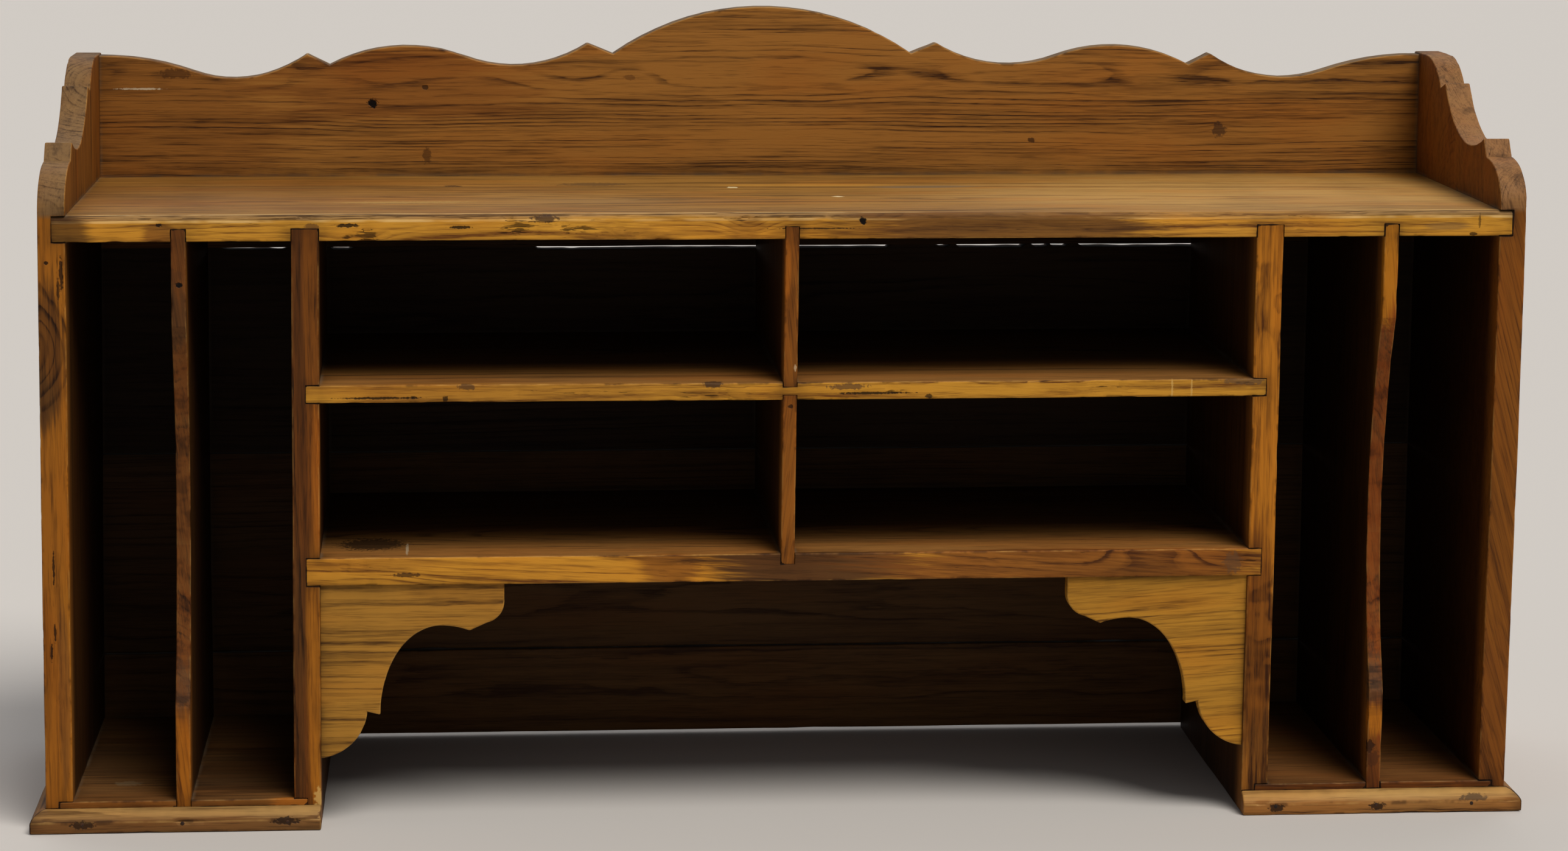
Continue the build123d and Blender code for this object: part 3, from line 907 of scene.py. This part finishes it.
board(
    "top_shelf", "X", (-40, -95), BROWN, AMBER, ring=3.8, tilt=(0.02, 0.012),
    # The lip's last colour is a painted highlight along its rim
    top=((152, 108, 48), (74, 48, 21)), lip=((152, 116, 70), (60, 42, 26), (224, 184, 118)),
    tears=0.25, chips=1.5, dust=0.25,
    knots=(
        (front(-126, 476), (34, 40, 12), 7), (front(-32, 488), (20, 40, 14), 7),
        (front(62, 492), (30, 40, 12), 6), (front(230, 500), (60, 60, 16), 7),
        (front(-345, 478), (40, 40, 10), 5),
    ),
    tints=(
        (front(-574, 486), (22, 6, 40), DARK, 0.8),
        (front(-500, 483), (13, 6, 7), BROWN, 0.8),
        (front(-120, 487), (115, 6, 12), ((214, 153, 54), (122, 74, 27)), 0.55),
        (front(350, 487), (85, 6, 12), ((216, 152, 56), (112, 68, 26)), 0.65),
        (front(-126, 481), (34, 6, 7), BROWN, 0.45),
        (front(-35, 486), (13, 6, 12), BROWN, 0.45),
        (front(58, 487), (30, 6, 14), DARK, 0.4),
        (front(175, 486), (116, 6, 40), ((122, 80, 35), (76, 47, 21)), 0.95),
        (front(534, 486), (20, 6, 4), GREY_BROWN, 0.5),
        # Painted light and shade: the deck is painted darker towards the left and paler towards the
        # right
        (deck(-470, 40), (190, 140, 8), ((128, 84, 32), (78, 48, 18)), 0.65),
        (deck(400, -20), (250, 140, 8), ((182, 140, 76), (116, 80, 38)), 0.75),
        (deck(30, 60), (80, 10, 5), ((186, 134, 56), (150, 100, 38)), 0.7),
        (deck(128, 42), (44, 9, 5), ((120, 108, 90), (84, 72, 56)), 0.5),
        (deck(-100, -60), (120, 20, 5), ((134, 102, 60), (90, 64, 34)), 0.5),
    ),
    spots=(
        (front(59, 492), (3.4, 5, 3), BLACK, 1.0),
        (front(-499, 491), (2.6, 4, 1.8), BLACK, 0.9),
        (front(-379, 489), (6, 4, 3), (108, 72, 34), 0.8),
        (front(-194, 495), (11, 7, 3.4), (64, 44, 32), 0.85),
        (front(-262, 488), (10, 4, 1.3), BLACK, 0.9),
        (front(-351, 490), (10, 5, 1.6), BLACK, 0.9),
        (front(20, 486), (34, 3, 0.5), BLACK, 0.9),
        (front(561, 489), (1.0, 4, 6), BLACK, 0.6),
        (front(556, 479), (3, 4, 1.5), BLACK, 0.8),
        (deck(-268, 58), (8, 6, 5), (64, 42, 24), 0.8),
        (deck(-308, -62), (60, 8, 4), (176, 142, 78), 0.4),
        (deck(-33, 42), (4, 6, 4), (214, 196, 150), 0.8),
        (deck(50, -30), (5, 4, 4), (224, 204, 160), 0.8),
        (deck(-150, 70), (30, 14, 4), (76, 56, 36), 0.6),
    ),
    torn=(
        (front(-350, 483), (34, 8, 6), 0.6), (front(-334, 482), (12, 8, 6), 1.1),
        (front(-217, 487), (18, 8, 7), 1.3), (front(-176, 486), (32, 8, 8), 1.0),
        (front(-125, 482), (26, 8, 7), 0.9), (front(-35, 486), (16, 8, 9), 0.8),
        (front(300, 489), (80, 8, 5), 0.4), (front(414, 487), (16, 8, 6), 1.0),
        (front(560, 487), (18, 8, 7), 0.6), (front(215, 484), (60, 8, 5), 0.4),
        (front(0, 495), (580, 12, 2.5), 0.5), (front(-440, 490), (60, 8, 4), 0.5),
    ),
)
board(
    "mid_shelf", "X", (30, -60), BROWN, AMBER, top=((147, 100, 49), (87, 57, 28)), ring=3.8,
    fade=100, inside=0.7,
    tints=((front(-240, 355), (160, 6, 20), ((160, 108, 40), (92, 54, 20)), 0.6),),
    spots=(
        (front(-328, 351.3), (34, 5, 1.0), BLACK, 0.9),
        (front(-300, 351.6), (3.0, 5, 1.3), BLACK, 0.8),
        (front(-275, 350), (2.4, 4, 3), BLACK, 0.8),
        (front(-258, 360), (7, 6, 3), (84, 56, 32), 0.8),
        (front(-61, 360.5), (8, 8, 3), (60, 42, 30), 0.85),
        (front(48, 358), (17, 5, 2.6), (96, 66, 40), 0.8),
        (front(68, 352.5), (30, 4, 1.0), BLACK, 0.9),
        (front(114, 349.5), (3.0, 4, 1.8), BLACK, 0.8),
        (front(372, 360), (18, 6, 3), (100, 72, 46), 0.75),
        (front(312, 354), (0.9, 3, 9), (214, 172, 98), 0.5),
        (front(328, 354), (0.9, 3, 9), (214, 172, 98), 0.5),
    ),
    torn=(
        (front(-170, 355), (64, 8, 3), 1.0), (front(-60, 353), (52, 8, 6), 0.9),
        (front(85, 355), (18, 8, 5), 1.3), (front(246, 355), (44, 8, 6), 0.8),
        (front(372, 359), (16, 8, 5), 1.0), (front(-280, 358), (60, 8, 3), 0.6),
    ),
)
board(
    "lower_shelf", "X", (-50, 60), BROWN, ((202, 140, 45), (104, 60, 21)),
    top=((147, 100, 49), (87, 57, 28)), ring=4.4, fade=100, inside=0.7, tilt=(0.0, 0.055),
    contrast=0.9,
    tints=(
        (front(-95, 210), (26, 6, 24), BROWN, 0.8),
        (front(20, 210), (90, 6, 40), ((92, 60, 30), (46, 29, 14)), 1.0),
        (front(230, 208), (170, 6, 40), ((138, 82, 32), (74, 40, 16)), 0.9),
        (front(-330, 216), (54, 6, 6), BROWN, 0.35),
    ),
    spots=(
        (front(-307, 207), (11, 4, 2), (60, 36, 16), 0.8),
        # A painted glint, and beside it a painted shadow, on the shelf's top
        ((-307, -112, 221.5), (1.3, 26, 4), (168, 148, 118), 0.7),
        ((-336, -92, 221.5), (28, 26, 5), (26, 16, 10), 0.8),
        (front(365, 210), (8, 5, 9), (92, 66, 44), 0.6),
    ),
    knots=((front(-330, 200), (46, 60, 14), 6), (front(300, 224), (36, 60, 16), 8)),
    torn=(
        (front(-345, 213), (44, 8, 5), 0.8), (front(-85, 211), (30, 8, 9), 0.8),
        (front(180, 211), (70, 8, 8), 0.5), (front(378, 210), (10, 8, 10), 1.1),
    ),
)
board(
    "left_side", "Z", (26, 60), ((134, 83, 30), (72, 40, 13)), ((154, 94, 25), (52, 26, 7)),
    ring=4.2, contrast=0.85, crest=((120, 90, 56), (70, 48, 29)),
    knots=((front(-600, 390), (26, 40, 34), 17),),
    tints=(
        (front(-592, 388), (17, 8, 60), ((102, 61, 22), (38, 20, 9)), 0.95),
        (front(-594, 352), (12, 8, 24), DARK, 0.85),
        (front(-593, 180), (9, 8, 140), RED_BROWN, 0.2),
        (front(-581, 105), (5, 8, 70), BROWN, 0.8),
    ),
    spots=(
        (front(-588, 461), (1.8, 4, 1.8), BLACK, 0.9),
        (front(-576.5, 452), (1.6, 5, 14), BLACK, 0.85),
        (front(-579, 441), (1.3, 5, 9), BLACK, 0.7),
        (front(-588, 216), (1.0, 4, 14), BLACK, 0.85),
        (front(-588, 163), (1.0, 4, 8), BLACK, 0.85),
        (front(-591, 147), (1.0, 4, 8), BLACK, 0.85),
    ),
    torn=(
        (front(-578, 458), (7, 8, 40), 0.8), (front(-587, 200), (6, 8, 70), 0.45),
        (front(-583, 95), (7, 8, 80), 0.5), (front(-583, 432), (15, 8, 20), 0.4),
    ),
)
board(
    "right_side", "Z", (-70, 10), ((130, 76, 24), (78, 42, 13)), ((128, 75, 22), (68, 36, 11)),
    ring=2.2, contrast=0.4, tilt=(0.28, 0.0), tears=0.0, chips=0.5,
    crest=((140, 98, 58), (66, 42, 24)),
    tints=((front(588, 60), (30, 6, 90), ((122, 68, 22), (70, 38, 13)), 0.6),),
)
board(
    "left_inner_upright", "Z", (18, -50), BROWN, ((118, 67, 20), (36, 18, 7)), ring=3.0,
    contrast=0.8, chips=0.6,
    tints=(
        (front(-394, 250), (9, 6, 500), ((96, 54, 20), (42, 24, 10)), 0.7),
        (front(-378, 300), (4, 6, 70), ORANGE, 0.8),
        (front(-380, 100), (8, 6, 110), ((176, 108, 28), (84, 42, 11)), 0.95),
        (front(-396, 120), (6, 6, 130), DARK, 0.6),
    ),
    spots=(
        (front(-379, 24), (5, 6, 8), (206, 164, 92), 0.7),
        (front(-379, 12), (3, 6, 5), (180, 136, 76), 0.6),
    ),
    torn=((front(-388, 60), (8, 8, 80), 0.3),),
)
board(
    "right_inner_upright", "Z", (-15, -24), BROWN, ((184, 114, 30), (76, 40, 11)), ring=3.0,
    contrast=0.75, tears=0.1, chips=0.5, knots=((front(396, 425), (12, 40, 26), 4),),
    curls=((front(388, 145), (30, 60, 52), 1.0), (front(388, 440), (30, 60, 22), 0.4)),
    tints=(
        (front(388, 120), (20, 6, 110), ((122, 68, 20), (56, 28, 9)), 0.85),
        (front(388, 30), (20, 6, 50), BROWN, 0.7),
    ),
    torn=((front(385, 390), (6, 8, 70), 0.3), (front(380, 290), (4, 8, 70), 0.35)),
)
board(
    "upper_centre_divider", "Z", (20, -50), BROWN, ((142, 84, 26), (54, 28, 10)), ring=2.6,
    contrast=0.5, tilt=(0.1, 0), tints=((front(-3, 455), (4, 6, 24), ORANGE, 0.95),),
    spots=(
        (front(-5.5, 403), (1.2, 4, 2), (214, 180, 130), 0.7),
        (front(5.5, 373), (1.2, 4, 3), (200, 170, 130), 0.6),
    ),
    torn=((front(0, 472), (8, 8, 12), 0.6),),
)
board(
    "lower_centre_divider", "Z", (-20, -50), BROWN, ((142, 84, 26), (54, 28, 10)), ring=2.6,
    contrast=0.5, tilt=(-0.12, 0), spots=((front(2, 342), (2.4, 4, 1.8), BLACK, 0.8),),
)
board(
    "left_slot_divider", "Z", (20, 40), BROWN, ((106, 61, 23), (44, 25, 11)), ring=2.8,
    contrast=0.5, tilt=(0.12, 0),
    tints=(
        (front(-488, 400), (14, 8, 46), ((82, 52, 26), (44, 27, 14)), 0.8),
        (front(-488, 128), (14, 12, 40), ((92, 62, 38), (48, 30, 18)), 0.85),
        (front(-489, 40), (14, 8, 58), ((162, 96, 23), (88, 47, 11)), 1.0),
        (front(-489, 230), (14, 8, 70), RED_BROWN, 0.6),
    ),
    bands=((front(-489, 135), (14, 12, 36), 0.75),),
    spots=(
        (front(-484.5, 443), (2.6, 5, 2.2), BLACK, 1.0),
        (front(-488, 450), (6, 5, 6), (70, 42, 22), 0.4),
    ),
)
board(
    "right_slot_divider", "Z", (-20, 40), BROWN, ((124, 62, 18), (54, 26, 9)), ring=2.8,
    contrast=0.5, tilt=(0.1, 0),
    tints=(
        (front(486, 460), (14, 8, 62), ((176, 113, 28), (90, 52, 14)), 1.0),
        (front(481, 385), (14, 8, 20), ((96, 64, 38), (50, 31, 18)), 0.5),
        (front(483, 118), (14, 12, 36), ((92, 62, 38), (48, 30, 18)), 0.8),
        (front(484, 76), (14, 8, 15), ((172, 102, 24), (98, 52, 12)), 1.0),
        (front(484, 42), (14, 8, 22), ((104, 60, 22), (52, 27, 10)), 0.6),
    ),
    bands=((front(483, 116), (14, 12, 28), 0.9), (front(482, 404), (14, 12, 5), 0.9)),
    spots=(
        (front(482, 54), (6, 5, 6), (46, 26, 14), 0.85),
        (front(485, 44), (7, 5, 7), (66, 36, 18), 0.6),
    ),
    torn=((front(486, 460), (8, 8, 30), 0.6),),
)
board(
    "left_floor_board", "X", (10, -60), BROWN, BROWN, inside=0.3, fade=160, dust=0.3,
    top=((107, 73, 39), (57, 38, 21)), contrast=0.4,
    tints=(
        ((-440, -60, 23.5), (70, 70, 8), ((66, 44, 24), (40, 26, 14)), 0.8),
        ((-540, -20, 23.5), (60, 70, 8), ((72, 48, 26), (44, 28, 16)), 0.6),
        (front(-400, 18), (24, 6, 10), ORANGE, 0.8),
    ),
    spots=(((-537, -92, 23.5), (12, 8, 4), (112, 92, 66), 0.5),),
)
board(
    "right_floor_board", "X", (30, -60), BROWN, RED_BROWN, inside=0.3, fade=160, dust=0.2,
    top=((112, 72, 36), (58, 36, 19)), contrast=0.4,
)
board(
    "left_bracket", "X", (30, 46), TAN, TAN, inside=0.0, ring=5.0, contrast=0.75, tears=0.0,
    dust=0.0, chips=0.4,
)
board(
    "right_bracket", "X", (30, 60), ((182, 128, 43), (88, 55, 20)), ((182, 128, 43), (88, 55, 20)),
    inside=0.0, ring=4.6, tears=0.0, tilt=(0.0, -0.06), dust=0.0, chips=0.4,
    tints=(((362, -145, 66), (18, 8, 9), AMBER, 1.0),),
)
board("left_shelf_block", "X", (30, 30), BROWN, BROWN)
board("right_shelf_block", "X", (30, 30), BROWN, BROWN)
board("left_upright_block", "Z", (30, 30), BROWN, BROWN)
board("right_upright_block", "Z", (30, 30), BROWN, BROWN)
board(
    "gallery_board", "X", (15, 46), ((157, 105, 45), (60, 34, 14)), BROWN, inside=0.84, ring=3.4,
    contrast=0.8, tears=0.0, chips=0.5, crest=((120, 92, 56), (66, 44, 24)), dust=0.2,
    knots=(
        (back_at(-384, 588), (60, 60, 18), 5), (back_at(-300, 548), (80, 60, 20), -5),
        (back_at(-115, 583), (34, 60, 9), 3.4), (back_at(343, 590), (40, 60, 12), 3.4),
        (back_at(-515, 586), (28, 60, 9), 4), (back_at(120, 585), (80, 60, 22), 3),
        (back_at(400, 537), (14, 40, 7), 3), (back_at(-250, 580), (60, 60, 16), 4),
    ),
    tints=(
        (back_at(-520, 540), (110, 8, 120), ((138, 86, 34), (56, 30, 11)), 0.7),
        (back_at(-310, 575), (130, 8, 28), ((136, 82, 32), (70, 38, 14)), 0.65),
        (back_at(-540, 470), (60, 8, 40), ((110, 70, 30), (50, 28, 12)), 0.5),
    ),
    spots=(
        (back_at(-336, 561), (4.8, 8, 4.2), BLACK, 1.0),
        (back_at(400, 537), (6, 8, 7), (56, 36, 24), 0.7),
        (back_at(-291, 575), (2.6, 6, 2.2), (44, 26, 14), 0.8),
        (back_at(-290, 516), (4, 6, 7), (58, 32, 14), 0.6),
        (back_at(-115, 583), (6, 6, 2.6), (84, 48, 20), 0.5),
        (back_at(-503, 587), (15, 6, 4.5), (58, 32, 13), 0.6),
        (back_at(-533, 574), (19, 4, 0.9), (196, 176, 144), 0.9),
        (back_at(235, 528), (3, 6, 2.5), (50, 28, 14), 0.8),
    ),
)
board("upper_back_board", "X", (-90, 30), OLD_BACK, OLD_BACK, inside=0.86, tears=0.0, dust=0.1)
board("middle_back_board", "X", (-90, -40), OLD_BACK, OLD_BACK, inside=0.62, tears=0.0, dust=0.1)
board("lower_back_board", "X", (-90, 10), OLD_BACK, OLD_BACK, inside=0.5, tears=0.0, dust=0.1)
board(
    "left_front_moulding", "X", (30, -30), ((118, 80, 42), (54, 34, 18)),
    ((118, 80, 42), (54, 34, 18)), inside=0.0, tears=0.0, chips=1.4, dust=0.1,
    top=((172, 132, 76), (104, 73, 38)),
    spots=(
        ((-569, -160, 7), (11, 6, 3.4), (40, 25, 15), 0.85),
        ((-406, -160, 8), (11, 6, 3.4), (40, 25, 15), 0.9),
    ),
)
board(
    "right_front_moulding", "X", (30, -30), ((156, 108, 56), (80, 50, 24)),
    ((156, 108, 56), (80, 50, 24)), inside=0.0, tears=0.0, chips=1.4, dust=0.1,
    top=((190, 147, 84), (116, 82, 43)),
    spots=(
        ((404, -160, 6), (7, 6, 3.4), (40, 25, 15), 0.9),
        ((488, -160, 6), (7, 6, 3.4), (40, 25, 15), 0.9),
        ((569, -158, 12), (11, 6, 3), (76, 56, 36), 0.8),
    ),
)
board("left_side_moulding", "Y", (30, -30), MOULDING, MOULDING, inside=0.0, tears=0.0, dust=0.1)
board("right_side_moulding", "Y", (30, -30), MOULDING, MOULDING, inside=0.0, tears=0.0, dust=0.1)

WEAR_STEP = 5.3  # how far apart the boards' wear noise is taken
for number, (node, look) in enumerate(LOOKS.items()):
    timber_piece(node, look, WEAR_STEP * number)
for node in NAIL_NODES:
    nail_piece(node)


# ---- Floor, light and camera -----------------------------------------------------------------


def make_floor():
    """A plain floor that ends far outside every view, just under the feet."""
    bm = bmesh.new()
    reach, gap = 40.0, 0.4 * MM
    corners = [(-reach, -reach), (reach, -reach), (reach, reach), (-reach, reach)]
    bm.faces.new([bm.verts.new((x, y, -gap)) for x, y in corners])
    mesh = bpy.data.meshes.new("floor")
    bm.to_mesh(mesh)
    bm.free()
    material = bpy.data.materials.new("Pale_floor")
    material.use_nodes = True
    shader = material.node_tree.nodes["Principled BSDF"]
    shader.inputs["Base Color"].default_value = rgb(197, 192, 187)
    shader.inputs["Roughness"].default_value = 0.9
    shader.inputs["Specular IOR Level"].default_value = 0.2
    mesh.materials.append(material)
    floor = bpy.data.objects.new("floor", mesh)
    bpy.context.scene.collection.objects.link(floor)


def make_sun(name, azimuth, elevation, strength, softness, colour):
    """A soft distant light. Azimuth 0 is in front of the hutch and 90 to its right."""
    light = bpy.data.lights.new(name, "SUN")
    light.energy = strength
    light.angle = math.radians(softness)
    light.color = colour
    lamp = bpy.data.objects.new(name, light)
    a, e = math.radians(azimuth), math.radians(elevation)
    towards = Vector((math.sin(a) * math.cos(e), -math.cos(a) * math.cos(e), math.sin(e)))
    lamp.rotation_euler = towards.to_track_quat("Z", "Y").to_euler()
    bpy.context.scene.collection.objects.link(lamp)


def make_world(strength, colour):
    world = bpy.data.worlds.new("Studio")
    world.use_nodes = True
    background = world.node_tree.nodes["Background"]
    background.inputs["Color"].default_value = colour
    background.inputs["Strength"].default_value = strength
    bpy.context.scene.world = world


def make_camera():
    """The camera that was fitted to the board edges in the photograph."""
    camera = bpy.data.cameras.new("Camera")
    camera.lens, camera.sensor_width = 94.36, 36.0
    camera.clip_start, camera.clip_end = 0.05, 200.0
    place, roll = Vector((-0.264, -3.402, 0.874)), 0.005
    yaw, pitch = math.radians(4.58), math.radians(9.52)
    turn = Matrix.Rotation(-yaw, 3, "Z") @ Matrix.Rotation(math.pi / 2 - pitch, 3, "X")
    turn = (turn @ Matrix.Rotation(roll, 3, "Z")).to_4x4()
    holder = bpy.data.objects.new("Camera", camera)
    holder.matrix_world = Matrix.Translation(place) @ turn
    bpy.context.scene.collection.objects.link(holder)
    bpy.context.scene.camera = holder


make_floor()
WARM, COOL = (1.0, 0.97, 0.92), (0.97, 0.98, 1.0)
make_sun("Key", azimuth=36, elevation=57, strength=2.65, softness=32, colour=WARM)
make_sun("Rear_fill", azimuth=185, elevation=52, strength=0.75, softness=60, colour=COOL)
make_world(0.26, (*COOL, 1.0))
make_camera()
bpy.context.scene.view_settings.view_transform = "Standard"
